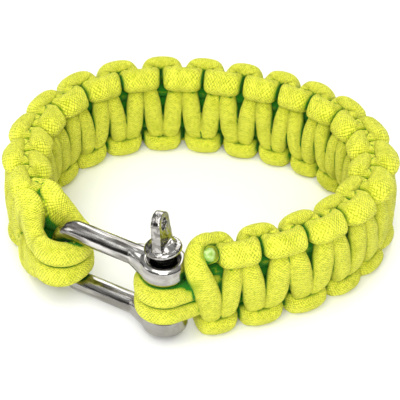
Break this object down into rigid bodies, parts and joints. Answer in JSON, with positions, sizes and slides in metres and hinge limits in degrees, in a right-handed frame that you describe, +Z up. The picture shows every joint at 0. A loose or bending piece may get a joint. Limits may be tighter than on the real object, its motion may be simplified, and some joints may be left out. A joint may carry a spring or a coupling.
{
  "type": "paracord bracelet",
  "caption": "Knotted cord bracelet closed by a small screw-pin D-shackle, lying on its side.",
  "frame": {"origin": "middle of the footprint, on the surface that the bracelet lies on", "axes": "+Z up, square to the wrist hollow's opening; +X along the shackle from its crown to its pin; +Y from the shackle across the hollow"},
  "size_m": [0.0916, 0.0837, 0.0343],
  "materials": {
    "steel": "worn satin",
    "cord": "woven nylon",
    "melted_cord": "melted"
  },
  "bodies": {
    "bracelet": {"shackle_bow": "steel", "woven_band": "cord", "pin_loop_upper": "cord", "pin_loop_lower": "cord", "crown_loop_upper": "cord", "crown_loop_lower": "cord", "melted_end_outer": "melted_cord", "melted_end_inner": "melted_cord"},
    "screw_pin": {"shackle_pin": "steel"}
  },
  "joints": [
    {"name": "pin_slide", "type": "slide", "parent": "bracelet", "child": "screw_pin", "axis": [0, 0, 1], "range_m": [-0.0014, 0.02]}
  ]
}
